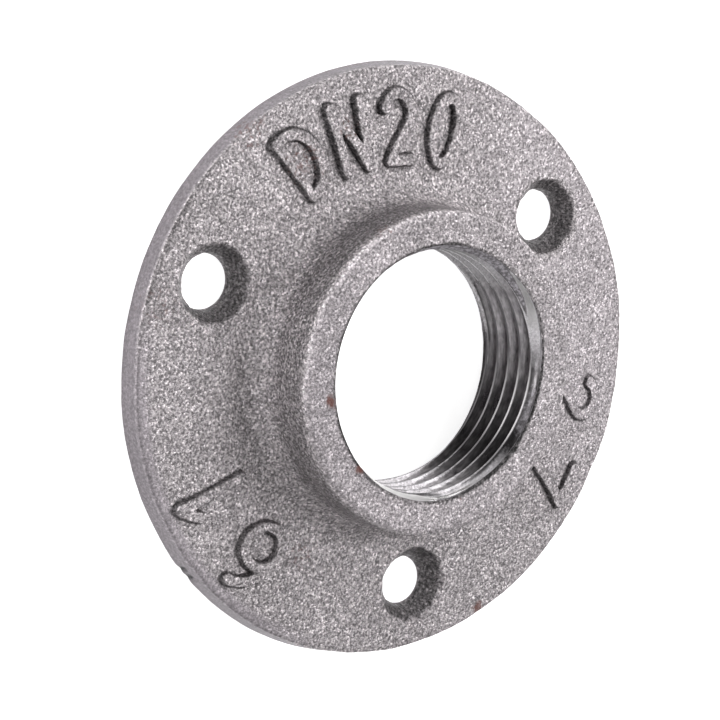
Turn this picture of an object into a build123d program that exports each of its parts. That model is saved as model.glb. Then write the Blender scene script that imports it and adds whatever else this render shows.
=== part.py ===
from build123d import *
import os
from math import cos, radians, tan

# A threaded floor flange: one iron casting that screws down flat and takes a pipe in its boss.
# Lengths are in millimetres and angles in degrees.
# The origin is the centre of the flat back, and +Z runs along the thread towards the boss.
# The sizes run outwards from the thread: boss, cove, screw holes, rim.

# Thread, bored to the minor diameter of a 3/4 inch parallel pipe thread
thread_minor_diameter = 24.12
mouth_chamfer = 0.45
back_chamfer = 0.9

# Boss, with the thickness of its wall at the face
overall_height = 10.2
boss_wall = 3.9
boss_draft = 2.0
boss_edge_radius = 0.6

# Plate, with its thickness where the boss would meet it without the cove
plate_thickness = 3.0
plate_slope = 3.0
cove_radius = 3.0

# Countersunk screw holes
screw_count = 3
screw_hole_diameter = 5.4
screw_mouth_diameter = 7.9
screw_seat_angle = 80.0
screw_first_angle = 90.0
cove_to_screw = 0.25

# Rim
screw_to_rim = 2.2
rim_draft = 11.0
rim_edge_break = 0.3

# How far a cutting tool runs past the surface that it cuts
overrun = 1.0


def drop(run):
    """How far the plate's face falls over a run outwards."""
    return run * tan(radians(plate_slope))


bore_radius = thread_minor_diameter / 2
boss_radius = bore_radius + boss_wall

# The corner where the boss's drafted side meets the plate's face, before the cove rounds it
corner_radius = boss_radius + (overall_height - plate_thickness) * tan(radians(boss_draft))
cove_turn = 90.0 - boss_draft - plate_slope
cove_reach = cove_radius * tan(radians(cove_turn / 2)) * cos(radians(plate_slope))

screw_mouth_radius = screw_mouth_diameter / 2
screw_circle_radius = corner_radius + cove_reach + cove_to_screw + screw_mouth_radius
screw_face_height = plate_thickness - drop(screw_circle_radius - corner_radius)

# The plate's face ends at the edge break, and the drafted side of the rim goes on from there
face_end = screw_circle_radius + screw_mouth_radius + screw_to_rim
face_end_height = plate_thickness - drop(face_end - corner_radius)
side_radius = face_end + rim_edge_break
side_height = face_end_height - rim_edge_break
rim_radius = side_radius + side_height * tan(radians(rim_draft))


def cast_section():
    """Half of the section through the axis, as a face on the XZ plane."""
    corners = {
        (bore_radius, overall_height - mouth_chamfer): 0,
        (bore_radius, back_chamfer): 0,
        (bore_radius + back_chamfer, 0): 0,
        (rim_radius, 0): 0,
        (side_radius, side_height): 0,
        (face_end, face_end_height): 0,
        (corner_radius, plate_thickness): cove_radius,
        (boss_radius, overall_height): boss_edge_radius,
        (bore_radius + mouth_chamfer, overall_height): 0,
    }
    points = [(radius, 0, height) for radius, height in corners]
    return make_face(FilletPolyline(*points, radius=corners.values(), close=True))


def screw_tool():
    """The tool that cuts a screw hole: a straight shank that widens into the seat of a screw's head."""
    hole_radius = screw_hole_diameter / 2
    widening = tan(radians(screw_seat_angle / 2))
    seat_bottom = screw_face_height - (screw_mouth_radius - hole_radius) / widening
    top = screw_face_height + overrun
    outline = Polyline(
        (0, 0, -overrun),
        (hole_radius, 0, -overrun),
        (hole_radius, 0, seat_bottom),
        (screw_mouth_radius + overrun * widening, 0, top),
        (0, 0, top),
        close=True,
    )
    return revolve(make_face(outline), Axis.Z)


def flange():
    """The finished casting, turned about its axis and cut by the screw holes."""
    casting = revolve(cast_section(), Axis.Z)
    for place in PolarLocations(screw_circle_radius, screw_count, screw_first_angle):
        casting -= place * screw_tool()
    return casting


os.makedirs("parts", exist_ok=True)
floor_flange = flange()
floor_flange.label = "floor_flange"
export_step(floor_flange, "parts/floor_flange.step")
print("rim diameter", round(2 * rim_radius, 2), "screw circle", round(2 * screw_circle_radius, 2))
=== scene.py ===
from math import cos, hypot, pi, radians, sin, tan

import bmesh
import bpy
import numpy as np
from mathutils import Matrix, Vector, geometry


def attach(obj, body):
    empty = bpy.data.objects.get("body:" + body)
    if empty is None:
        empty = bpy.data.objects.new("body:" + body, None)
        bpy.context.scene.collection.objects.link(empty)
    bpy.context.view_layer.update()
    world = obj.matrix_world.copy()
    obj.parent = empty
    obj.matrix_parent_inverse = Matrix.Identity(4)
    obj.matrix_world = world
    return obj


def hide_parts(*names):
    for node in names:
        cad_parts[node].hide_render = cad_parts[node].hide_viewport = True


# A threaded floor flange of sand-cast iron, dressed around its fixed solid.
# The mesh is worked out in millimetres, in the part's own frame, and scaled when it is made.
# Azimuths are in degrees about the thread's axis.

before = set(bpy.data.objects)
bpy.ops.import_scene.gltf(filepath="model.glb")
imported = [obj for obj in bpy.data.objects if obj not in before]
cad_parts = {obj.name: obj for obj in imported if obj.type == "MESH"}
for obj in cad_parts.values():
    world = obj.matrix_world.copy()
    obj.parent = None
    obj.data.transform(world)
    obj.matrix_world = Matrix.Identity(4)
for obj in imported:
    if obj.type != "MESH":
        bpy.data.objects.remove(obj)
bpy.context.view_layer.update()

NODE = "floor_flange"
MM = 0.001

# The solid's driving sizes, in millimetres and degrees
overall_height = 10.2
bore_radius = 12.06
back_chamfer = 0.9
boss_radius = 15.96
boss_draft = 2.0
boss_edge_radius = 0.6
plate_thickness = 3.0
plate_slope = 3.0
cove_radius = 3.0
screw_count = 3
screw_circle_radius = 23.15
screw_first_angle = 90.0
screw_hole_radius = 2.7
screw_mouth_radius = 3.95
screw_seat_angle = 80.0
face_end = 29.3
side_radius = 29.6
rim_radius = 30.0

# A 3/4 inch parallel pipe thread: its form, and where one crest lies at azimuth 0
thread_pitch = 1.814
thread_depth = 1.162
crest_flat = 0.24
crest_height = 5.58

# How much of its depth the thread keeps by how far under the face it is, the same where the wall
# is plain near the mouth, and where around the bore that is
FADE = [(0.3, 0.3), (0.3 + thread_pitch, 1)]
PLAIN_FADE = [(1.1, 0), (0.8 + thread_pitch, 1)]
PLAIN_SIDE = [(-166, 1), (-150, 0), (140, 0), (160, 1)]

# Nicks in the rim: azimuth, half width, depth, and how dark they are below a height
NICKS = [(151.9, 0.4, 0.14, 1.0), (154.2, 0.4, 0.14, 1.0), (143.0, 3.0, 0.08, 0.0), (-12.0, 2.0, 0.06, 0.0)]
nick_dark_below = 1.0

# Edges that the casting leaves softer than the solid, and the angle from which an edge shades sharp
screw_edge_radius = 0.2
seat_bottom_radius = 0.15
rim_edge_radius = 0.35
back_edge_radius = 0.12
sharp_angle = 35

# How finely the surfaces are divided: columns around, rows on the flanks over and under a crest,
# steps along lines and arcs, cells of loose points, and how many cells these keep clear
bore_columns = 432
rim_columns = 576
screw_columns = 132
flank_rows = (7, 4)
boss_steps = (0.27, 0.24)
rim_steps = (0.3, 0.1)
screw_steps = (0.22, 0.09)
fine_cell = 0.16
plain_cell = 0.38
back_cell = 1.4
clear_cells = 0.6

# What keeps rings and rows of the mesh apart, or inside the solid
least_row_gap = 0.02
thread_to_face = 0.5
cove_to_plate = 0.02
rim_lead = 0.3
rim_inset = 0.02
back_band = 0.4
screw_edge_share = 0.6

# Unevenness: the strength, wavelength and seed of each noise
LONG_SWELL = (0.05, 7.0, 1)
SHORT_SWELL = (0.035, 1.3, 5)
HOLE_EDGE = (0.12, 1.3, 20)
THREAD_WALL = (0.02, 0.8, 30)
TORN_WALL = (0.04, 0.6, 35)
MARK_SHIFTS = ((0.07, 1.6, 40), (0.07, 1.6, 50))
MARK_WEAR = (0.25, 2.2, 60)
LIP_EDGE = (0.08, 0.8, 70)
LIP_CHIPS = (1.0, 2.5, 80)
RIM_DENTS = (0.12, 16.0, 90)
SEAT_SHADE = (0.12, 0.6, 110)
BURR_EDGE = (0.04, 0.7, 120)
RIM_SHADE = (0.06, 0.9, 130)
RIM_FADE = (0.08, 0.9, 130)
LIP_RAGS = (0.25, 0.6, 140)

# The swell starts over the back and shows less sideways. The rim's dents are long down its side, with
# some room to its outline. A hole's edge has a furthest push, and both end within a reach
SWELL_UP = [(1.4, 0), (2.2, 1)]
side_swell = 0.7
dent_stretch = (1, 1, 0.3)
rim_room = 0.06
most_hole_push = 0.08
edge_reach = 1

# The bore's lip at the mouth, by azimuth: the radius of its edge before that is made ragged, and how
# far inside it the slope into the bore begins. Then how deep the slope goes, how far down its top is,
# how far outside the edge the brink ends and the plain face begins, and how far out chips reach
# and from what value of their noise
LIP = [
    (-150, 12.66), (-122, 12.42), (-75, 12.46), (-60, 12.72), (-40, 13.0), (0, 12.78), (60, 12.75),
    (85, 12.64), (140, 12.55), (180, 12.68),
]
LIP_REACH = [(-150, 0.12), (-137, 0.33), (-95, 0.38), (-75, 0.22), (-60, 0.12)]
lip_depth = 1.2
lip_drop = 0.07
lip_width = 0.07
lip_clear = 0.2
lip_chips = 0.2
chip_threshold = 0.25

# Where the bore's wall is torn: along the mouth, from what depth, and how softly it begins and ends
TORN_ALONG = [(-46, 0), (-36, 1), (25, 1), (48, 0)]
TORN_FROM = [(-44, 0.95), (-30, 0.6), (-14, 0.25), (0, 0.0)]
torn_lap = 0.05
torn_fade = 0.12

# Painted light on the groove: how light it is by azimuth, how many times as light near the mouth, and how
# deep that goes
GROOVE_TONE = [
    (-180, 1.2), (-165, 1.15), (-152, 0.7), (-130, 0.55), (-108, 0.8), (-92, 1.1), (-75, 1.4),
    (-30, 1.5), (-8, 1.4), (20, 1.4),
]
MOUTH_TONE = [(-180, 1.4), (-120, 1.4), (-104, 0.6), (-78, 0.5), (-64, 1.1), (-50, 1.4), (20, 1.4)]
MOUTH_TONE_DOWN = [(lip_depth, 1), (1.6, 0)]

# Painted shade in the groove over the lowest crest that shows: where, by azimuth and height over it,
# how dark, and how many turns down that crest is
HIDDEN = [(-80, 0), (-60, 1), (-20, 1), (-8, 0)]
HIDDEN_OVER = [(0.12, 0), (0.22, 1), (0.26, 1), (0.42, 0)]
hidden_dark = 0.88
turns_to_last_crest = 2

# Painted reflection on the crests: how bright it is by azimuth and by height
SHINE = [(-150, 0), (-125, 0.25), (-110, 0.32), (-98, 1.2), (-85, 1.1), (-62, 0)]
SHINE_UP = [(1.5, 0.12), (8.5, 1.0)]

# How much painted highlight the slope inside the lip gets over the plain wall, by azimuth, and how deep
# that goes
LIT = [
    (-172, 2.0), (-160, 1.5), (-138, 1.5), (-130, 1.1), (-118, 0.8), (-108, 0.2), (-98, -0.5),
    (-80, -0.4), (-68, 0.25), (-56, 0.8), (-44, 1.4), (-22, 1.5), (-12, 0), (156, 0), (166, 1.9),
]
LIT_DOWN = [(lip_depth, 1), (1.4, 0)]

# How dark the lip's edge is by azimuth, and how light it and its brink are, and how much less if dark
LIP_SHADE = [
    (-176, 0.45), (-150, 0.75), (-130, 1.0), (-70, 1.0), (-38, 0.45), (-30, 0.1), (-4, 0.1),
    (10, 0.6), (25, 0.9), (55, 0.5), (90, 0.9), (110, 0.5), (130, 1.0), (165, 0.8), (176, 0.55),
]
LIP_TONE = {"lip": (0.8, 1.1), "brink": (0.95, 0.75)}

# Painted highlight on the flank over each crest, by azimuth: how far up it reaches, in pitches, and how
# bright
GLEAM_REACH = [
    (-162, 0.4), (-152, 0.24), (-143, 0.15), (-131, 0.08), (-112, 0), (-40, 0.5), (-14, 0.45),
    (20, 0.45), (170, 0.5),
]
GLEAM = [
    (-150, 0.28), (-142, 0.6), (-122, 0.7), (-108, 0), (-34, 0), (-14, 0.9), (6, 1.4), (20, 1.4),
    (40, 0), (170, 0), (178, 0.2),
]
GLEAM_EDGE = [(-0.06, 1), (0.04, 0)]

# The burr along the lowest crest that shows, as a painted highlight: how bright by azimuth, and how high
# over the crest
BURR = [(-62, 0), (-50, 0.6), (25, 0.6), (40, 0)]
BURR_OVER = [(0.1, 1), (0.22, 0)]

# Painted light and shade on the boss by height, lighter in the cove and darker up its side, and at what
# heights its edge, its face and its side lie
BOSS_PAINTED_LIGHT = [(2.9, 1.05), (3.3, 1.1), (4.6, 1.0), (6.0, 0.68), (9.2, 0.62), (9.5, 0.8), (10.0, 1)]
ON_EDGE = [(9.7, 0), (9.95, 1), (10.1, 1), (10.17, 0)]
ON_FACE = [(9.9, 0), (10.1, 1)]
ON_SIDE = [(4.6, 0), (6.0, 1), (9.2, 1), (9.5, 0)]

# Painted light and shade by azimuth on the boss's edge, face and side and on the plate, and how dark
# the painted shadow at a mark's foot is
BOSS_EDGE = [
    (-165, 0), (-150, -0.5), (-105, -0.5), (-80, 0.1), (-45, 0.35), (20, 0.6), (50, 1), (110, 1),
    (140, 0),
]
BOSS_FACE = [
    (-150, 0.1), (-60, 0), (14, 0.08), (60, -0.05), (100, -0.3), (125, -0.25), (150, 0.05),
    (172, 0.14),
]
BOSS_SIDE = [
    (-120, 0), (0, -0.1), (41, -0.24), (69, -0.24), (95, -0.05), (120, -0.05), (160, -0.36),
    (-170, -0.1),
]
PLATE_TONE = [(-150, 0.03), (-80, 0.14), (-25, 0.14), (10, 0), (100, 0.03), (125, 0.12), (165, 0.1)]
mark_foot_shadow = 1.15

# Painted light in a countersink by depth, a painted highlight at its edge and painted shade below, and
# painted light by how far it faces +Y
SEAT_PAINTED_SHADE = [(0.1, 1.15), (0.3, 0.05)]
PAINTED_LIGHT_TOWARD = [(0.5, 0), (0.85, 0.8)]

# How strongly the sand's grain shows: on the boss's face and the plate by azimuth, on the boss's side
# and the rim by height, and on the back and in the screw holes
FACE_GRAIN = [(14, 0.9), (109, 0.68), (172, 0.78)]
PLATE_GRAIN = [(-110, 1), (-80, 0.8), (-20, 0.8), (10, 1)]
SIDE_GRAIN = [(4.6, 1), (6.0, 1.3), (9.2, 1.3), (9.5, 1)]
RIM_GRAIN = [(1.7, 0.2), (2.05, 1.0)]
PLAIN_GRAIN = {"back": 0.3, "hole": 1.1}

# The rim: how light it is by height, where its edge has a painted highlight line, and how bright that is
rim_side_tone = 0.55
RIM_TONE = [(1.85, rim_side_tone), (2.05, 1.0)]
EDGE_LINE = [(60, 0), (78, 1), (98, 1), (110, 0)]
edge_line_low = 1.75
edge_line_high = 2.06
edge_line_highlight = 1.7

# Where the rim's edge is soft by azimuth, radius and height, how much painted shade darkens it, and how
# much less grainy it is
EDGE_SOFT = [(98, 0), (112, 1), (170, 1), (190, 0)]
SOFT_IN = [(28.0, 0), (28.8, 1)]
SOFT_UP = [(1.5, 0), (2.0, 1)]
soft_edge_shade = 0.25
soft_grain = 0.6

# How much wider each screw hole is above, and how much narrower below, than it is drawn
HOLE_DRAFTS = [(0.12, 0.0), (0.06, 0.25), (0.12, 0.06)]

corner_radius = boss_radius + (overall_height - plate_thickness) * tan(radians(boss_draft))


def plate_height(radius):
    """Height of the plate's sloping face at a distance from the axis."""
    return plate_thickness - (radius - corner_radius) * tan(radians(plate_slope))


def around(table, azimuth):
    """The value of a table of azimuths and values at each azimuth, all the way round."""
    return np.interp(azimuth, *zip(*table), period=360)


def profile(table, places):
    """The value of a table of places and values at each place, level beyond its ends."""
    return np.interp(places, *zip(*table))


def polar(points):
    """Radius and azimuth of an array of points."""
    return np.hypot(points[:, 0], points[:, 1]), np.degrees(np.arctan2(points[:, 1], points[:, 0]))


def turned_from(azimuth, middle):
    """How far azimuths are from a middle one, from -180 to 180."""
    return (azimuth - middle + 180) % 360 - 180


# Noise


def lattice_noise(points, wavelength, seed):
    """Smooth noise from -1 to 1 at an array of points, the same on every run."""
    rng = np.random.default_rng(seed)
    order = rng.permutation(256)
    values = rng.uniform(-1, 1, 256)
    scaled = np.asarray(points, float) / wavelength + 1000.5
    cell = np.floor(scaled).astype(int)
    blend = scaled - cell
    blend = blend * blend * (3 - 2 * blend)
    total = np.zeros(len(scaled))
    for corner in np.ndindex(2, 2, 2):
        x, y, z = (cell + corner).T
        share = np.prod(np.where(corner, blend, 1 - blend), axis=1)
        total += share * values[order[(order[(order[x % 256] + y) % 256] + z) % 256]]
    return total


def uneven(points, noise, octaves=3, share=1):
    """A share of one of the noises above, in octaves that are each half as long and half as strong."""
    strength, wavelength, seed = noise
    total = np.zeros(len(points))
    for octave in range(octaves):
        total += lattice_noise(points, wavelength / 2**octave, seed + octave) / 2**octave
    return strength * share * total


# Sections


def resample(points, step):
    """The same line with points about one step apart."""
    out = [points[0]]
    for start, end in zip(points, points[1:]):
        count = max(round(hypot(end[0] - start[0], end[1] - start[1]) / step), 1)
        for k in range(1, count + 1):
            out.append(tuple(a + (b - a) * k / count for a, b in zip(start, end)))
    return out


def rounded(points, radii, step, arc_step):
    """A line of radius and height whose inner corners are rounded, with points about one step apart."""
    out = [points[0]]
    for before, corner, after, radius in zip(points, points[1:], points[2:], radii):
        here = Vector(corner)
        back = (Vector(before) - here).normalized()
        on = (Vector(after) - here).normalized()
        half = back.angle(on) / 2
        run = radius / tan(half)
        middle = here + (back + on).normalized() * radius / sin(half)
        first = here + back * run - middle
        turn = pi - 2 * half
        side = 1 if back.cross(on) < 0 else -1
        count = max(round(radius * turn / arc_step), 3)
        start = resample([out[-1], tuple(here + back * run)], step)
        out += start[1:]
        for k in range(1, count + 1):
            angle = side * turn * k / count
            spoke = Matrix.Rotation(angle, 2) @ first
            out.append(tuple(middle + spoke))
    return out + resample([out[-1], points[-1]], step)[1:]


# Marks: generic sizes in raised figures, in place of the casting's own


def bend(x, y, across, up, start, end, count=20):
    """Points along an arc of an ellipse, from one angle to another in degrees."""
    angles = np.radians(np.linspace(start, end, count))
    return [(x + across * cos(a), y + up * sin(a)) for a in angles]


GLYPHS = {
    "D": [[(0, 0), (0, 1), *bend(0.2, 0.5, 0.8, 0.5, 90, -90), (0, 0)]],
    "N": [[(0, 0), (0, 1), (1, 0), (1, 1)]],
    "0": [bend(0.5, 0.5, 0.5, 0.5, 0, 360, 40)],
    "1": [[(0.22, 0.78), (0.6, 1), (0.6, 0)]],
    "2": [[*bend(0.5, 0.71, 0.5, 0.29, 160, -35), (0, 0), (1, 0)]],
    "6": [bend(0.5, 0.3, 0.5, 0.3, 0, 360, 32), bend(1, 0.3, 1, 0.7, 180, 105)],
    "7": [[(0, 1), (1, 1), (0.35, 0)]],
}

# Each mark: figure, azimuth of its middle, its foot and top radius, width, lean in degrees, and relief
MARKS = [
    ("D", 52.5, 20.3, 26.8, 3.1, 6, 0.55),
    ("N", 38.8, 20.3, 26.8, 3.1, -2, 0.6),
    ("2", 24.8, 20.3, 26.8, 3.0, 2, 0.6),
    ("0", 11.0, 20.3, 26.8, 3.0, -4, 0.6),
    ("1", 141.0, 20.8, 27.8, 3.8, -4, 0.6),
    ("6", 160.5, 20.9, 27.8, 4.3, 3, 0.65),
    ("2", -79.5, 20.9, 26.4, 3.4, 0, 0.42),
    ("7", -100.5, 20.9, 26.8, 3.4, 4, 0.5),
]
stroke_half_width = 0.6
stroke_slope = 0.14

# The painted shadow line at a stroke's foot: how far out it runs, how wide its fall is, and how full it is
foot_line_out = 0.03
foot_line_fall = 0.12
foot_line_full = 1.6

# How far around a mark its strokes are looked for, and the plate's points are fine or plain
mark_margin = 2
fine_margin = 0.9
plain_margin = 1.0


def to_strokes(distance_to, points, line):
    """The least of a distance and the distance from points to a line."""
    for start, end in zip(line, line[1:]):
        along = np.subtract(end, start)
        share = np.clip((points - start) @ along / max(along @ along, 1e-12), 0, 1)
        gap = points - start - share[:, None] * along
        distance_to = np.minimum(distance_to, np.hypot(*gap.T))
    return distance_to


def marks_relief(points):
    """How far the raised marks stand above the plate at each point, and the painted shadow line at their
    feet.
    """
    radius, azimuth = polar(points)
    relief = np.zeros(len(points))
    foot_shadow = np.zeros(len(points))
    for figure, middle, foot, top, width, lean, height in MARKS:
        across = np.radians(turned_from(middle, azimuth)) * (foot + top) / 2
        near = (np.abs(across) < width) & (radius > foot - mark_margin) & (radius < top + mark_margin)
        local = np.c_[across, radius - (foot + top) / 2][near]
        slant = radians(lean)
        local = local @ np.array([[cos(slant), -sin(slant)], [sin(slant), cos(slant)]])
        local += np.c_[tuple(uneven(points[near], shift) for shift in MARK_SHIFTS)]
        gap = np.full(len(local), np.inf)
        for line in GLYPHS[figure]:
            scaled = [((x - 0.5) * width, (y - 0.5) * (top - foot)) for x, y in line]
            gap = to_strokes(gap, local, scaled)
        rise = np.clip((stroke_half_width + stroke_slope / 2 - gap) / stroke_slope, 0, 1)
        worn = 1 + uneven(points[near], MARK_WEAR)
        relief[near] = np.maximum(relief[near], height * worn * rise * rise * (3 - 2 * rise))
        off_line = np.abs(gap - stroke_half_width - foot_line_out)
        dark = np.clip(foot_line_full - off_line / foot_line_fall, 0, 1)
        foot_shadow[near] = np.maximum(foot_shadow[near], dark)
    return relief, foot_shadow


def near_marks(points, margin):
    """Which points lie within a margin of the marks' boxes."""
    radius, azimuth = polar(points)
    near = np.zeros(len(points), bool)
    for _, middle, foot, top, width, _, _ in MARKS:
        across = np.radians(turned_from(middle, azimuth)) * (foot + top) / 2
        inside = np.abs(across) < width / 2 + margin
        near |= inside & (radius > foot - margin) & (radius < top + margin)
    return near


# The mesh


def ring_angles(columns):
    """Angles around a ring, in radians."""
    return np.arange(columns) * 2 * pi / columns


def ring_points(radius, height, angles):
    """A ring about the axis, whose radius and height may change around it."""
    return np.c_[radius * np.cos(angles), radius * np.sin(angles), np.zeros(len(angles)) + height]


class Shell:
    """A closed surface that is put together ring by ring."""

    def __init__(self):
        self.points = []
        self.kinds = []
        self.faces = []
        self.face_kinds = []

    def add(self, points, kind):
        """Adds points and returns their numbers. The kind says how they are roughened."""
        self.points.append(np.asarray(points, float))
        self.kinds += [kind] * len(points)
        return np.arange(len(self.kinds) - len(points), len(self.kinds))

    def face(self, corners, kind):
        """Adds a face without its repeated corners, if three or more are left."""
        corners = [int(c) for k, c in enumerate(corners) if c != corners[k - 1]]
        if len(set(corners)) == len(corners) > 2:
            self.faces.append(corners)
            self.face_kinds.append(kind)

    def bridge(self, lower, upper, kind):
        """A band of faces between two rings with as many points."""
        for k in range(len(lower)):
            self.face((lower[k - 1], lower[k], upper[k], upper[k - 1]), kind)

    def turned(self, section, columns, kind, start=None):
        """Turns a section about the axis, and returns its last ring."""
        ring = start
        for radius, height in section if start is None else section[1:]:
            fresh = self.add(ring_points(radius, height, ring_angles(columns)), kind)
            if ring is not None:
                self.bridge(ring, fresh, kind)
            ring = fresh
        return ring

    def fill(self, outer, inner, holes, loose, kind):
        """Fills the flat-lying region between an outer ring, an inner ring and holes."""
        every = np.vstack(self.points)
        rings = [outer, inner, *holes]
        numbers = np.concatenate([*rings, loose])
        flat = [Vector(every[n][:2]) for n in numbers]
        edges, first = [], 0
        for ring in rings:
            size = len(ring)
            edges += [(first + k, first + (k + 1) % size) for k in range(size)]
            first += size
        verts, _, triangles, origin, _, _ = geometry.delaunay_2d_cdt(flat, edges, [], 0, 1e-7)
        at = np.array([tuple(v) for v in verts])
        triangles = np.array(triangles)
        middles = at[triangles].mean(axis=1)
        kept = ~inside_ring(middles, every[inner]) & inside_ring(middles, every[outer])
        for hole in holes:
            kept &= ~inside_ring(middles, every[hole])
        for triangle in triangles[kept]:
            self.face([numbers[origin[v][0]] for v in triangle], kind)


def inside_ring(points, ring):
    """Which points lie inside a ring that is a circle or nearly one."""
    centre = ring[:, :2].mean(axis=0)
    ring_angle = np.arctan2(ring[:, 1] - centre[1], ring[:, 0] - centre[0])
    order = np.argsort(ring_angle)
    ring_radius = np.hypot(*(ring[:, :2] - centre).T)
    angle = np.arctan2(points[:, 1] - centre[1], points[:, 0] - centre[0])
    limit = np.interp(angle, ring_angle[order], ring_radius[order], period=2 * pi)
    return np.hypot(*(points - centre).T) < limit


def lattice(cell):
    """Points of a triangular lattice over the whole rim."""
    rows = np.arange(-rim_radius, rim_radius, cell * sin(pi / 3))
    columns = np.arange(-rim_radius, rim_radius, cell)
    x, y = np.meshgrid(columns, rows)
    x = x + (np.arange(len(rows)) % 2)[:, None] * cell / 2
    return np.c_[x.ravel(), y.ravel()]


def screw_centres():
    """Where the screw holes' axes stand."""
    angles = [radians(screw_first_angle + 360 * k / screw_count) for k in range(screw_count)]
    return [(screw_circle_radius * cos(a), screw_circle_radius * sin(a)) for a in angles]


def free_points(cell, inner_radius, outer_radius, hole_radius):
    """Lattice points in a ring of the plate, clear of its holes."""
    points = lattice(cell)
    radius = np.hypot(*points.T)
    clear = cell * clear_cells
    kept = (radius > inner_radius + clear) & (radius < outer_radius - clear)
    for centre in screw_centres():
        kept &= np.hypot(*(points - centre).T) > hole_radius + clear
    return points[kept]


def thread_radius(turns):
    """Radius of the thread's wall, by how many pitches a point is from a crest."""
    from_crest = np.abs((turns + 0.5) % 1 - 0.5) * thread_pitch
    flank = thread_pitch / 2 - crest_flat
    share = np.clip((from_crest - crest_flat / 2) / flank, 0, 1)
    return bore_radius + thread_depth * share


def bore_wall(height, angles):
    """Radius of the bore, opened by the thread's groove, the lip's slope and the chamfer at the back."""
    azimuth = np.degrees(angles)
    sunk = overall_height - height
    share = profile(FADE, sunk)
    share = share + around(PLAIN_SIDE, azimuth) * (profile(PLAIN_FADE, sunk) - share)
    turns = (height - crest_height) / thread_pitch - angles / (2 * pi)
    groove = bore_radius + share * (thread_radius(turns) - bore_radius)
    reach = around(LIP, azimuth) - around(LIP_REACH, azimuth) - bore_radius
    mouth = bore_radius + reach * (1 - sunk / lip_depth)
    back = bore_radius + back_chamfer - height
    return np.maximum(groove, np.maximum(mouth, back))


def thread_rows():
    """Heights of the mesh's rows at azimuth 0, which follow the helix, and how many make a turn."""
    edge = crest_flat / 2 / thread_pitch
    over = np.linspace(edge, 0.5 - edge, flank_rows[0])
    under = np.linspace(0.5 + edge, 1 - edge, flank_rows[1])
    one_turn = np.r_[0, over, 0.5, under]
    first = int((-crest_height - thread_pitch) // thread_pitch)
    last = int((overall_height - crest_height) // thread_pitch) + 1
    rows = [crest_height + (k + t) * thread_pitch for k in range(first, last) for t in one_turn]
    return np.array(rows), len(one_turn)


def add_thread(shell, mouth, back):
    """The threaded wall between the lip's lower ring and the back's."""
    low = least_row_gap
    high = overall_height - lip_drop - least_row_gap
    heights, per_turn = thread_rows()
    angles = ring_angles(bore_columns)
    rows = np.full((len(heights), bore_columns), -1)
    for k, start in enumerate(heights):
        height = start + thread_pitch * angles / (2 * pi)
        inside = (height > low) & (height < high)
        points = ring_points(bore_wall(height, angles), height, angles)[inside]
        rows[k, inside] = shell.add(points, "thread")
        rows[k, height <= low] = back[height <= low]
        rows[k, height >= high] = mouth[height >= high]

    def number(row, column):
        """The point of a row and a column. After the last column a row goes on one turn up."""
        if column == bore_columns:
            row, column = row + per_turn, 0
        if row < 0:
            return back[column]
        if row >= len(heights):
            return mouth[column]
        return rows[row, column]

    for column in range(bore_columns):
        for row in range(-per_turn, len(heights)):
            corners = [number(row + up, column + on) for up, on in ((0, 0), (1, 0), (1, 1), (0, 1))]
            shell.face(corners, "thread")


def add_lip(shell, angles):
    """The ragged edge where the thread breaks out of the face. Returns its lower and outer ring."""
    circle = ring_points(bore_radius, 0, angles)
    chips = np.clip(uneven(circle, LIP_CHIPS, 4) - chip_threshold, 0, 1)
    edge = around(LIP, np.degrees(angles)) + uneven(circle, LIP_EDGE) + lip_chips * chips
    low = overall_height - lip_drop
    lower = shell.add(ring_points(bore_wall(low, angles), low, angles), "lip")
    middle = shell.add(ring_points(edge, overall_height, angles), "lip")
    brink = shell.add(ring_points(edge + lip_width, overall_height, angles), "brink")
    outer = shell.add(ring_points(edge + lip_clear, overall_height, angles), "face")
    shell.bridge(lower, middle, "lip")
    shell.bridge(middle, brink, "lip")
    shell.bridge(brink, outer, "face")
    return lower, outer


def add_screw_hole(shell, centre, wider, narrower):
    """One countersunk hole, from the plate's face to the back. Returns its upper and lower ring."""
    height_here = plate_height(hypot(*centre))
    widening = tan(radians(screw_seat_angle / 2))
    seat_bottom = height_here - (screw_mouth_radius - screw_hole_radius) / widening
    corners = [
        (screw_mouth_radius + screw_edge_share * screw_edge_radius, height_here),
        (screw_mouth_radius, height_here),
        (screw_hole_radius + wider, seat_bottom),
        (screw_hole_radius - narrower, 0),
    ]
    rings = []
    for radius, height in rounded(corners, [screw_edge_radius, seat_bottom_radius], *screw_steps):
        points = ring_points(radius, height, ring_angles(screw_columns)) + (*centre, 0)
        tilt = plate_height(polar(points)[0]) - height_here
        points[:, 2] += tilt * max(height - seat_bottom, 0) / (height_here - seat_bottom)
        rings.append(shell.add(points, "hole" if height > 0 else "back"))
        if len(rings) > 1:
            shell.bridge(rings[-2], rings[-1], "hole")
    return rings[0], rings[-1]


def add_boss(shell, lip):
    """From the lip over the boss and the cove to the plate. Returns the last ring and its radius."""
    cove_turn = 90 - boss_draft - plate_slope
    foot = corner_radius + cove_radius * tan(radians(cove_turn / 2)) + cove_to_plate
    corners = [
        (bore_radius + thread_depth + thread_to_face, overall_height),
        (boss_radius, overall_height),
        (corner_radius, plate_thickness),
        (foot, plate_height(foot)),
    ]
    section = rounded(corners, [boss_edge_radius, cove_radius], *boss_steps)
    first = shell.add(ring_points(section[0][0], overall_height, ring_angles(bore_columns)), "face")
    shell.bridge(lip, first, "face")
    return shell.turned(section, bore_columns, "face", first), section[-1][0]


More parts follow.
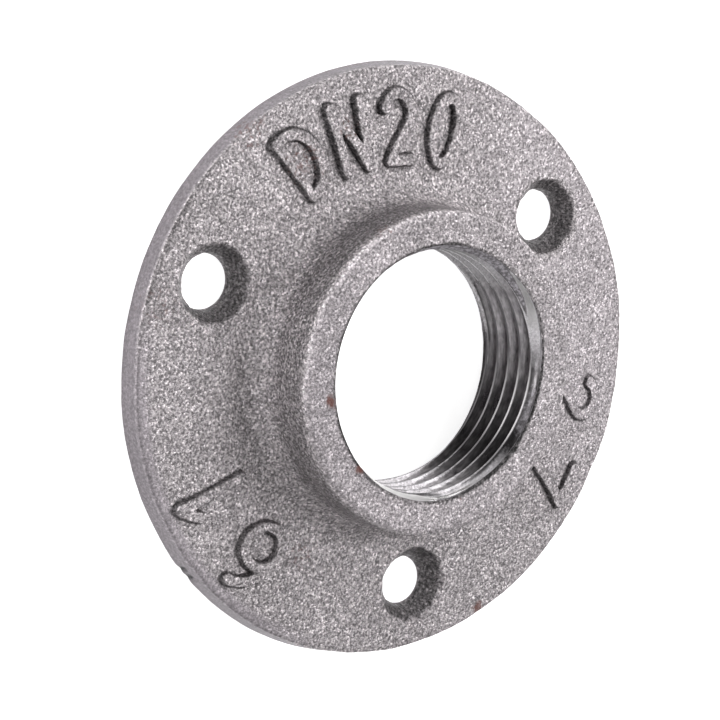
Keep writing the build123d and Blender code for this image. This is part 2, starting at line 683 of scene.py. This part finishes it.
def add_rim(shell):
    """From the plate's edge over the rim to the back. Returns the first ring, its radius and the last."""
    start = face_end - rim_lead
    corners = [
        (start, plate_height(start)),
        (side_radius - rim_inset, plate_height(side_radius)),
        (rim_radius, 0),
        (rim_radius - back_band, 0),
    ]
    section = rounded(corners, [rim_edge_radius, back_edge_radius], *rim_steps)
    first = shell.turned(section[:1], rim_columns, "plate")
    return first, start, shell.turned(section, rim_columns, "rim", first)


def flange_shell():
    """The whole casting as one closed surface."""
    shell = Shell()
    angles = ring_angles(bore_columns)
    mouth, lip = add_lip(shell, angles)
    back_bore = shell.add(ring_points(bore_wall(0, angles), 0, angles), "back")
    cove_end, cove_end_radius = add_boss(shell, lip)
    plate_end, plate_end_radius, back_end = add_rim(shell)
    holes = [add_screw_hole(shell, *each) for each in zip(screw_centres(), *zip(*HOLE_DRAFTS))]
    tops, bottoms = zip(*holes)

    # The plate's face, finely divided where the marks are
    limits = (cove_end_radius, plate_end_radius, screw_mouth_radius + screw_edge_radius)
    fine = free_points(fine_cell, *limits)
    plain = free_points(plain_cell, *limits)
    flat = np.vstack([fine[near_marks(fine, fine_margin)], plain[~near_marks(plain, plain_margin)]])
    loose = shell.add(np.c_[flat, plate_height(polar(flat)[0])], "plate")
    shell.fill(plate_end, cove_end, tops, loose, "plate")

    # The ground back
    flat = free_points(back_cell, bore_radius + thread_depth, rim_radius - back_band, screw_hole_radius)
    loose = shell.add(np.c_[flat, np.zeros(len(flat))], "back")
    shell.fill(back_end, back_bore, bottoms, loose, "back")

    add_thread(shell, mouth, back_bore)
    return shell


# Unevenness and wear, and painted light and shade


def torn_share(azimuth, sunk):
    """How torn the bore's wall is: a strip that widens along the mouth and ends in a point."""
    within = np.minimum(sunk - profile(TORN_FROM, azimuth) + torn_lap, lip_depth - sunk)
    return around(TORN_ALONG, azimuth) * np.clip(within / torn_fade, 0, 1)


def beside(azimuth, middle, width):
    """1 at one azimuth on the rim, and less to both sides of it."""
    return np.exp(-((radians(1) * turned_from(azimuth, middle) * rim_radius / width) ** 2))


def near_holes(points):
    """For each screw hole: the numbers of the points near it, and which way they lie from its axis."""
    for centre in screw_centres():
        spoke = points[:, :2] - centre
        gap = np.hypot(*spoke.T)
        here = np.flatnonzero(gap < screw_mouth_radius + edge_reach)
        yield here, spoke[here] / gap[here][:, None]


def roughen(points, kinds):
    """Gives each part of the casting its own unevenness, without leaving the solid's box."""
    radius, azimuth = polar(points)
    out = points.copy()
    outward = np.c_[points[:, :2] / radius[:, None], np.zeros(len(points))]
    swell = uneven(points, LONG_SWELL) + uneven(points, SHORT_SWELL)
    cast = np.isin(kinds, ["face", "plate", "rim", "hole"])
    out[cast, 2] += (swell * profile(SWELL_UP, points[:, 2]))[cast]
    side = np.isin(kinds, ["face", "rim"])
    out[side] += outward[side] * (side_swell * swell[side])[:, None]

    rim = (kinds == "rim") & (radius > rim_radius - edge_reach)
    dent = rim_room + np.abs(uneven(points[rim] * dent_stretch, RIM_DENTS))
    for middle, width, depth, _ in NICKS:
        dent += depth * beside(azimuth[rim], middle, width)
    out[rim] -= outward[rim] * dent[:, None]

    plate = kinds == "plate"
    out[plate, 2] += marks_relief(points[plate])[0]

    hole = np.flatnonzero(kinds == "hole")
    for here, way in near_holes(points[hole]):
        push = np.minimum(uneven(points[hole[here]], HOLE_EDGE), most_hole_push)
        out[hole[here], :2] += way * push[:, None]

    wall = kinds == "thread"
    torn = torn_share(azimuth[wall], overall_height - points[wall, 2])
    push = uneven(points[wall], THREAD_WALL) + uneven(points[wall], TORN_WALL, share=torn)
    out[wall] += outward[wall] * push[:, None]

    out[:, 2] = np.clip(out[:, 2], 0, overall_height)
    out[:, :2] *= np.minimum(1, rim_radius / polar(out)[0])[:, None]
    return out


def over_last_crest(points, azimuth):
    """How far each point is over the crest that is the lowest one seen in the bore."""
    return points[:, 2] - crest_height - thread_pitch * (azimuth / 360 - turns_to_last_crest)


def soft_edge(points):
    """Where the rim's edge is soft and takes painted shade: 1 along it, less towards the plate, and 0 on
    the rim's side.
    """
    radius, azimuth = polar(points)
    return around(EDGE_SOFT, azimuth) * (profile(SOFT_IN, radius) * profile(SOFT_UP, points[:, 2]))


def hole_painted_light(points):
    """Painted highlight at a countersink's edge, painted shade in it, and painted light on its +Y side."""
    sunk = plate_height(polar(points)[0]) - points[:, 2] + uneven(points, SEAT_SHADE)
    painted_light_and_wear = profile(SEAT_PAINTED_SHADE, sunk)
    for here, way in near_holes(points):
        painted_light_and_wear[here] = np.maximum(painted_light_and_wear[here], profile(PAINTED_LIGHT_TOWARD, way[:, 1]))
    return painted_light_and_wear


def boss_painted_light(points):
    """Painted shade up the boss's side, lighter in its cove, and painted light and shade by azimuth on its
    edge, face and side.
    """
    azimuth = polar(points)[1]
    painted_light_and_wear = profile(BOSS_PAINTED_LIGHT, points[:, 2])
    for table, reach in ((BOSS_EDGE, ON_EDGE), (BOSS_FACE, ON_FACE), (BOSS_SIDE, ON_SIDE)):
        painted_light_and_wear += around(table, azimuth) * profile(reach, points[:, 2])
    return painted_light_and_wear


def rim_tone_and_highlight(points):
    """Darker on the rim's side, up to a ragged edge that has a painted highlight line along a part."""
    azimuth = polar(points)[1]
    height = points[:, 2]
    painted_light_and_wear = profile(RIM_TONE, height + uneven(points, RIM_SHADE))
    change = np.where(height < edge_line_low, 0, rim_side_tone - painted_light_and_wear)
    line = (height > edge_line_low) & (height < edge_line_high)
    change[line] = edge_line_highlight - painted_light_and_wear[line]
    painted_light_and_wear += around(EDGE_LINE, azimuth) * change
    for middle, width, _, dark in NICKS:
        painted_light_and_wear -= dark * beside(azimuth, middle, width) * (height < nick_dark_below)
    return painted_light_and_wear


def wall_tear_and_highlights(points):
    """1 on the thread's wall, 0 where it is torn, and more where painted highlights stand for the light it
    catches.
    """
    azimuth = polar(points)[1]
    sunk = overall_height - points[:, 2]
    torn = torn_share(azimuth, sunk)
    mouth = profile(LIT_DOWN, sunk)
    over = over_last_crest(points, azimuth)
    burr = around(BURR, azimuth) * profile(BURR_OVER, over + uneven(points, BURR_EDGE))
    up_flank = over / thread_pitch % 1
    gleam = around(GLEAM, azimuth) * profile(GLEAM_EDGE, up_flank - around(GLEAM_REACH, azimuth))
    # Painted highlights on the slope inside the lip, on the flanks and along the burr
    painted_highlight = mouth * around(LIT, azimuth) + (1 - mouth) * np.maximum(gleam, burr)
    return 1 - torn + (1 - torn) * painted_highlight


def shade_light_and_wear(points, kinds):
    """Painted light and shade, and wear, at each point: 0 in painted shade, 1 on open faces, more in a
    painted highlight, and low where the thread is torn.
    """
    painted_light_and_wear = np.ones(len(points))
    plate = kinds == "plate"
    # The plate gets painted light by azimuth and a painted shadow line at each mark's foot
    foot_shadow = marks_relief(points[plate])[1]
    painted_light_and_wear[plate] += around(PLATE_TONE, polar(points[plate])[1]) - mark_foot_shadow * foot_shadow
    for kind, values in (("hole", hole_painted_light), ("face", boss_painted_light), ("rim", rim_tone_and_highlight)):
        painted_light_and_wear[kinds == kind] = values(points[kinds == kind])
    painted_light_and_wear -= soft_edge_shade * soft_edge(points)
    painted_light_and_wear[kinds == "thread"] = wall_tear_and_highlights(points[kinds == "thread"])
    for kind, (plain, less) in LIP_TONE.items():
        edge = points[kinds == kind]
        shade = around(LIP_SHADE, polar(edge)[1])
        painted_light_and_wear[kinds == kind] = plain - less * shade + uneven(edge, LIP_RAGS, share=shade)
    return painted_light_and_wear


def groove_tone(points):
    """Painted light on the thread's groove by azimuth, another tone near the mouth, and painted shade over
    the last crest.
    """
    azimuth = polar(points)[1]
    near = profile(MOUTH_TONE_DOWN, overall_height - points[:, 2])
    tone = around(GROOVE_TONE, azimuth) * (1 + near * (around(MOUTH_TONE, azimuth) - 1))
    hidden = around(HIDDEN, azimuth) * profile(HIDDEN_OVER, over_last_crest(points, azimuth))
    return tone * (1 - hidden_dark * hidden)


def crest_shine(points):
    """Painted reflection on the thread's crests: most towards the mouth, on one side."""
    return around(SHINE, polar(points)[1]) * profile(SHINE_UP, points[:, 2])


def graininess(points, kinds):
    """How strongly each point shows the sand's grain: less on the rim's side and the back."""
    azimuth = polar(points)[1]
    height = points[:, 2]
    grain = np.ones(len(points))
    face = kinds == "face"
    side = profile(SIDE_GRAIN, height[face])
    grain[face] = side + profile(ON_FACE, height[face]) * (around(FACE_GRAIN, azimuth[face]) - side)
    plate = kinds == "plate"
    grain[plate] = around(PLATE_GRAIN, azimuth[plate])
    rim = kinds == "rim"
    grain[rim] = profile(RIM_GRAIN, height[rim] + uneven(points[rim], RIM_FADE))
    grain *= 1 - soft_grain * soft_edge(points)
    for kind, value in PLAIN_GRAIN.items():
        grain[kinds == kind] = value
    return grain


def in_scene(name, data):
    """A new object, linked to the scene."""
    made = bpy.data.objects.new(name, data)
    bpy.context.scene.collection.objects.link(made)
    return made


def make_flange(materials):
    """The dressed casting, as one object that stands for the solid."""
    shell = flange_shell()
    kinds = np.array(shell.kinds)
    points = roughen(np.vstack(shell.points), kinds)
    mesh = bpy.data.meshes.new("cast_flange")
    mesh.from_pydata((points * MM).tolist(), [], shell.faces)
    mesh.polygons.foreach_set("material_index", [int(kind == "thread") for kind in shell.face_kinds])
    mesh.polygons.foreach_set("use_smooth", [True] * len(mesh.polygons))
    work = bmesh.new()
    work.from_mesh(mesh)
    bmesh.ops.recalc_face_normals(work, faces=work.faces)
    open_edges = sum(1 for edge in work.edges if len(edge.link_faces) != 2)
    print("faces", len(work.faces), "open edges", open_edges)
    work.to_mesh(mesh)
    work.free()
    mesh.set_sharp_from_angle(angle=radians(sharp_angle))
    shares = {
        "painted_light_and_wear": shade_light_and_wear(points, kinds),
        "grain": graininess(points, kinds),
        "groove": groove_tone(points),
        "shine": crest_shine(points),
    }
    for name, values in shares.items():
        mesh.attributes.new(name, "FLOAT", "POINT").data.foreach_set("value", values)
    for material in materials:
        mesh.materials.append(material)
    return in_scene("cast_flange", mesh)


# Materials

# The sand's grain: how wide and deep it is, and how wide its flecks, clumps and drifts are
grain_size = 0.2
grain_depth = 0.14
fleck_size = 0.26
clump_size = 1.1
drift_size = 9.0

# The thread's streaks: width, depth, and the few millimetres that a radian counts, which draws them
# out along the turns. Then the width of its stains
streak_size = 0.12
streak_depth = 0.03
streak_radian = 1.5
stain_size = 1.5

# Colours of the casting where its grain shows and where it is smooth, and of rust
CAST_COLOR = (0.37, 0.342, 0.352, 1)
SMOOTH_COLOR = (0.36, 0.325, 0.355, 1)
RUST_COLOR = (0.12, 0.036, 0.026, 1)

# Colours of the thread: its crests, dark and in painted reflection, the groove, painted light on the
# flanks, a painted highlight, and what is torn
DARK_CREST = (0.07, 0.065, 0.07, 1)
CREST_REFLECTION = (0.6, 0.58, 0.59, 1)
DARK_GROOVE = (0.12, 0.112, 0.118, 1)
LIGHT_GROOVE = (0.21, 0.2, 0.205, 1)
FLANK_LIGHT_COLOR = (0.8, 0.77, 0.8)
HIGHLIGHT_COLOR = (0.97, 0.95, 0.95, 1)
TORN_PIT = (0.22, 0.205, 0.22, 1)
TORN_METAL = (0.56, 0.53, 0.57, 1)

# Rust: where each spot lies, its size in millimetres and its strength
RUST = [
    (-6.56, 11.25, 10.2, 0.8, 0.95),
    (-11.55, 5.34, 10.2, 0.6, 0.9),
    (-19.9, -20.94, 2.4, 0.75, 0.85),
]

# Places with a scatter of fine red specks: middle, size and strength
SPECKS = [
    (10.9, 12.2, 9.8, 1.6, 0.8),
    (14.7, 25.4, 2.3, 2.2, 0.6),
    (14.1, 18.8, 3.2, 2.4, 0.6),
    (19.0, 15.6, 3.2, 1.6, 0.6),
    (-4.0, 28.0, 2.4, 2.2, 0.4),
    (-21.0, 3.0, 3.0, 1.8, 0.5),
    (-1.63, -21.08, 2.8, 0.5, 0.9),
    (-10.5, -7.7, 10.2, 0.35, 0.9),
]


class Nodes:
    """A material's node tree, with short ways to add to it."""

    def __init__(self, name):
        self.material = bpy.data.materials.new(name)
        self.material.use_nodes = True
        self.tree = self.material.node_tree
        self.inputs = self.tree.nodes["Principled BSDF"].inputs

    def put(self, socket, value):
        """Links another socket, or sets a value."""
        if isinstance(value, bpy.types.NodeSocket):
            self.tree.links.new(value, socket)
        else:
            socket.default_value = value

    def set(self, name, value):
        """Puts a value into the shader."""
        self.put(self.inputs[name], value)

    def add(self, kind, settings=None, **inputs):
        """A node with its settings and its inputs, in whose names _ stands for a space."""
        node = self.tree.nodes.new(kind)
        for key, value in (settings or {}).items():
            setattr(node, key, value)
        for key, value in inputs.items():
            self.put(node.inputs[key.replace("_", " ")], value)
        return node

    def vector(self, operation, *values):
        """A node that works on vectors."""
        node = self.add("ShaderNodeVectorMath", {"operation": operation})
        for socket, value in zip(node.inputs, values):
            self.put(socket, value)
        return node

    def scaled(self, vector, factor):
        node = self.vector("SCALE", vector)
        self.put(node.inputs["Scale"], factor)
        return node.outputs[0]

    def place(self):
        """The part's own coordinates, in millimetres."""
        return self.scaled(self.add("ShaderNodeTexCoord").outputs["Object"], 1 / MM)

    def share(self, name):
        """A share that the mesh carries at its points."""
        return self.add("ShaderNodeAttribute", {"attribute_name": name}).outputs["Fac"]

    def noise(self, place, wavelength, detail=2.0, roughness=0.5):
        look = {"Scale": 1 / wavelength, "Detail": detail, "Roughness": roughness}
        return self.add("ShaderNodeTexNoise", Vector=place, **look).outputs["Fac"]

    def spread(self, value, low, high, to_low=0.0, to_high=1.0):
        """A value carried from one range to another, and held inside it."""
        ends = {"From_Min": low, "From_Max": high, "To_Min": to_low, "To_Max": to_high}
        return self.add("ShaderNodeMapRange", Value=value, **ends).outputs["Result"]

    def math(self, operation, first, second):
        node = self.add("ShaderNodeMath", {"operation": operation})
        self.put(node.inputs[0], first)
        self.put(node.inputs[1], second)
        return node.outputs[0]

    def plus(self, first, second):
        return self.math("ADD", first, second)

    def minus(self, first, second):
        return self.math("SUBTRACT", first, second)

    def times(self, first, second):
        return self.math("MULTIPLY", first, second)

    def mix(self, share, first, second):
        """A share of the way from one colour to another."""
        node = self.add("ShaderNodeMix", {"data_type": "RGBA"}, Factor=share, A=first, B=second)
        return node.outputs["Result"]


def spot(nodes, place, ragged, middle, size, strength):
    """One ragged spot: its strength within its size, and nothing further out."""
    away = nodes.vector("DISTANCE", place, middle).outputs["Value"]
    reach = nodes.plus(away, nodes.times(ragged, size * 1.6))
    return nodes.spread(reach, size * 1.1, size * 1.8, strength, 0.0)


def rust_share(nodes, place):
    """How rusty each point is: a few small spots with ragged edges, and scattered fine specks."""
    ragged = nodes.noise(place, 0.5, 2.0)
    fine = nodes.spread(nodes.noise(place, 0.4, 1.0), 0.54, 0.62)
    total = 0.0
    for *middle, size, strength in RUST:
        total = nodes.math("MAXIMUM", total, spot(nodes, place, ragged, middle, size, strength))
    for *middle, size, strength in SPECKS:
        wide = spot(nodes, place, ragged, middle, size, strength)
        total = nodes.math("MAXIMUM", total, nodes.times(wide, fine))
    return total


def sand_cast():
    """Grey iron as sand leaves it: bright grains, dark pits, painted glints, a little rust, and the painted
    light and shade that the mesh carries.
    """
    nodes = Nodes("sand_cast_iron")
    place = nodes.place()
    grain = nodes.share("grain")
    fleck = nodes.noise(place, fleck_size, 3.0, 0.6)
    drift = nodes.noise(place, drift_size, 2.0)
    cells = nodes.add("ShaderNodeTexVoronoi", Vector=place, Scale=1 / grain_size)
    cell = nodes.add("ShaderNodeSeparateColor", Color=cells.outputs["Color"]).outputs["Red"]

    # Each grain has its own tone, dark pits and bright flecks run across the grains, and a few grains are
    # lightened as painted glints that are also more metallic and smoother
    flecked = nodes.minus(nodes.spread(fleck, 0.34, 0.68), 0.5)
    own = nodes.times(nodes.minus(cell, 0.5), 0.55)
    bright = nodes.plus(nodes.times(nodes.plus(flecked, own), grain), 0.5)
    glint = nodes.times(nodes.spread(cell, 0.8, 0.92), grain)
    shade = nodes.plus(nodes.spread(bright, 0.0, 1.0, 0.4, 1.5), nodes.times(glint, 0.7))

    # Painted shade in hollows, and painted light and highlights where the mesh carries them, and a little
    # uneven over the whole
    ragged = nodes.plus(nodes.share("painted_light_and_wear"), nodes.times(nodes.minus(fleck, 0.5), 0.9))
    shade = nodes.times(shade, nodes.spread(ragged, -0.35, 2.0, 0.05, 1.69))
    shade = nodes.times(shade, nodes.spread(drift, 0.35, 0.65, 0.93, 1.05))
    color = nodes.scaled(nodes.mix(grain, SMOOTH_COLOR, CAST_COLOR), shade)
    rust = rust_share(nodes, place)
    nodes.set("Base Color", nodes.mix(rust, color, RUST_COLOR))

    metal = nodes.plus(0.55, nodes.times(glint, 0.3))
    nodes.set("Metallic", nodes.times(nodes.minus(1.0, rust), metal))
    nodes.set("Roughness", nodes.spread(glint, 0.0, 1.0, 0.5, 0.35))

    domes = nodes.times(cells.outputs["Distance"], -0.5)
    clump = nodes.noise(place, clump_size, 2.0)
    height = nodes.plus(nodes.plus(fleck, domes), nodes.times(clump, 0.6))
    height = nodes.times(height, grain)
    bump = nodes.add("ShaderNodeBump", Strength=1.0, Distance=grain_depth * MM, Height=height)
    nodes.set("Normal", bump.outputs[0])
    return nodes.material


def cut_thread():
    """Bare metal that a tap has cut, with fine streaks along the turns."""
    nodes = Nodes("cut_thread")
    place = nodes.place()
    painted_light_and_wear = nodes.share("painted_light_and_wear")
    tone = nodes.share("groove")
    x, y, z = nodes.add("ShaderNodeSeparateXYZ", Vector=place).outputs
    turn = nodes.math("ARCTAN2", y, x)
    lift = nodes.times(turn, thread_pitch / (2 * pi))
    along = nodes.add("ShaderNodeCombineXYZ", X=nodes.times(turn, streak_radian), Z=nodes.minus(z, lift))
    streak = nodes.noise(along.outputs[0], streak_size, 2.0)
    stain = nodes.noise(place, stain_size, 3.0)

    # The groove with its painted light, and the flats of the crests with their painted reflection
    groove = nodes.mix(nodes.spread(stain, 0.35, 0.7), DARK_GROOVE, LIGHT_GROOVE)
    groove = nodes.scaled(groove, nodes.times(tone, nodes.spread(streak, 0.35, 0.65, 0.7, 1.3)))
    flat = nodes.vector("MULTIPLY", place, (1, 1, 0)).outputs[0]
    radius = nodes.vector("LENGTH", flat).outputs["Value"]
    crest = nodes.spread(radius, bore_radius + 0.02, bore_radius + 0.08, 1.0, 0.0)
    color = nodes.mix(crest, groove, nodes.mix(nodes.share("shine"), DARK_CREST, CREST_REFLECTION))

    # Painted light on the flanks, mottled, and a near-white painted highlight where it is strongest, which
    # is also more metallic and smoother
    ragged = nodes.minus(nodes.noise(place, 0.3, 3.0, 0.7), 0.5)
    light = nodes.spread(nodes.plus(painted_light_and_wear, nodes.times(ragged, 0.8)), 1.15, 1.9)
    mottle = nodes.spread(nodes.noise(place, 0.22, 3.0, 0.7), 0.35, 0.65, 0.72, 1.2)
    color = nodes.mix(light, color, nodes.scaled(FLANK_LIGHT_COLOR, mottle))
    polish_and_highlight = nodes.spread(painted_light_and_wear, 2.0, 2.5)
    color = nodes.mix(polish_and_highlight, color, HIGHLIGHT_COLOR)

    # Dull and pitted where it is torn
    clean = nodes.spread(nodes.plus(painted_light_and_wear, ragged), 0.3, 0.8)
    pits = nodes.spread(nodes.noise(place, 0.35, 2.0), 0.42, 0.6)
    torn = nodes.mix(pits, TORN_PIT, TORN_METAL)
    nodes.set("Base Color", nodes.mix(clean, torn, color))

    duller = nodes.times(nodes.minus(light, polish_and_highlight), 0.7)
    nodes.set("Metallic", nodes.minus(nodes.spread(clean, 0.0, 1.0, 0.3, 0.95), duller))
    even = nodes.minus(nodes.spread(stain, 0.3, 0.7, 0.26, 0.38), nodes.times(polish_and_highlight, 0.08))
    rougher = nodes.spread(tone, 1.2, 2.0, 0.0, 0.2)
    rougher = nodes.plus(nodes.spread(clean, 0.0, 1.0, 0.3, 0.0), rougher)
    nodes.set("Roughness", nodes.plus(even, rougher))
    bump = nodes.add("ShaderNodeBump", Strength=0.5, Distance=streak_depth * MM, Height=streak)
    nodes.set("Normal", bump.outputs[0])
    return nodes.material


# Stage, lights and camera

# The photograph's view, in millimetres and degrees
camera_place = Vector((-20.01, 149.18, 203.07))
camera_aim = Vector((-1.37, 6.05, 5.0))
camera_roll = -104.19
camera_lens = 125.96
camera_sensor = 36.0

# The floor: its half width in metres, grey, roughness, and glow for rays that see it
floor_size = 3.0
FLOOR_COLOR = (0.8, 0.8, 0.8, 1)
floor_roughness = 0.9
floor_glow = 0.85
world_strength = 0.13

# Lamps, all at one distance in metres: azimuth, elevation, size in metres, and level
lamp_distance = 0.7
LAMPS = {
    "key": (-60, 60, 0.4, 0.43),
    "low_key": (-70, 35, 0.4, 0.14),
    "front": (-10, 35, 0.4, 0.51),
    "left": (104, 11, 0.3, 0.46),
    "back": (176, 60, 0.5, 0.24),
}


def make_camera():
    """The photograph's view: where the camera stands, what it aims at and how it is rolled."""
    data = bpy.data.cameras.new("view")
    data.lens = camera_lens
    data.sensor_width = camera_sensor
    camera = in_scene("view", data)
    look = (camera_aim - camera_place).to_track_quat("-Z", "Y").to_matrix()
    roll = Matrix.Rotation(radians(-camera_roll), 3, "Z")
    camera.matrix_world = Matrix.Translation(camera_place * MM) @ (look @ roll).to_4x4()
    bpy.context.scene.camera = camera


def make_world():
    """Plain white light from all around."""
    world = bpy.data.worlds.new("studio")
    bpy.context.scene.world = world
    world.use_nodes = True
    background = world.node_tree.nodes["Background"]
    background.inputs["Color"].default_value = (1, 1, 1, 1)
    background.inputs["Strength"].default_value = world_strength


def make_floor():
    """A pale floor under the part, near white to rays that see it where nothing shades it."""
    mesh = bpy.data.meshes.new("floor")
    corners = [(x * floor_size, y * floor_size, 0) for x, y in ((-1, -1), (1, -1), (1, 1), (-1, 1))]
    mesh.from_pydata(corners, [], [(0, 1, 2, 3)])
    floor = in_scene("floor", mesh)
    nodes = Nodes("pale_floor")
    path = nodes.add("ShaderNodeLightPath").outputs
    seen = path["Is Camera Ray"]
    for name in ("Is Glossy Ray", "Is Transmission Ray"):
        seen = nodes.math("MAXIMUM", seen, path[name])
    nodes.set("Base Color", FLOOR_COLOR)
    nodes.set("Roughness", floor_roughness)
    nodes.set("Specular IOR Level", 0.0)
    nodes.set("Emission Color", (1, 1, 1, 1))
    nodes.set("Emission Strength", nodes.times(seen, floor_glow))
    mesh.materials.append(nodes.material)


def make_lamp(name, azimuth, elevation, size, level):
    """A round lamp. At level 1 a surface that faces it renders as its own colour."""
    data = bpy.data.lights.new(name, "AREA")
    data.shape = "DISK"
    data.size = size
    data.energy = level * (pi * lamp_distance) ** 2
    flat = cos(radians(elevation))
    toward = Vector((flat * cos(radians(azimuth)), flat * sin(radians(azimuth)), sin(radians(elevation))))
    lamp = in_scene(name, data)
    lamp.location = toward * lamp_distance
    lamp.rotation_euler = toward.to_track_quat("Z", "Y").to_euler()


piece = make_flange([sand_cast(), cut_thread()])
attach(piece, "root")
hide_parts(NODE)

make_camera()
make_world()
make_floor()
for name, settings in LAMPS.items():
    make_lamp(name, *settings)
bpy.context.scene.view_settings.view_transform = "Standard"
